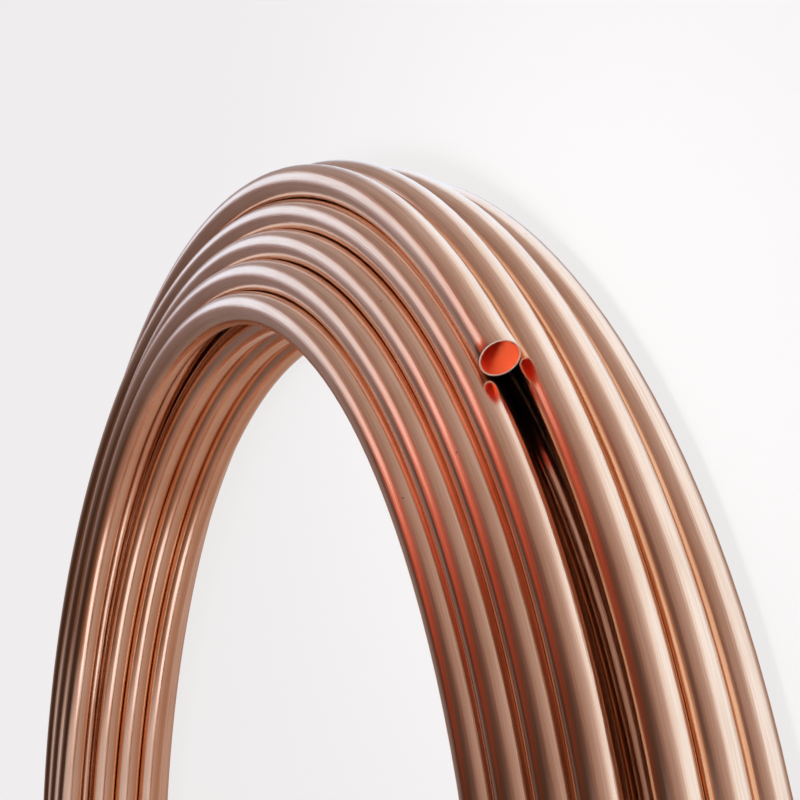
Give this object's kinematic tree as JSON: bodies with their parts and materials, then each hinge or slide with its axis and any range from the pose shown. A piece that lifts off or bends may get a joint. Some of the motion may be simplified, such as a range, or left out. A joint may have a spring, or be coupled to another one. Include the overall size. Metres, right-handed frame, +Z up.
{
  "type": "copper tube coil",
  "caption": "Coil of soft copper tube wound in layers side by side, lying on its end face, with an open tube end on its outer layer; stock for water, gas and heating runs.",
  "frame": {"origin": "on the floor, in the middle of the coil's eye", "axes": "+Z up along the coil's axis, towards the end face with the open tube end; +X across the coil, 60 degrees round from the open end"},
  "size_m": [0.73, 0.73, 0.085],
  "materials": {
    "copper": "satin"
  },
  "bodies": {
    "root": {"copper_tube_coil": "copper"}
  },
  "joints": []
}
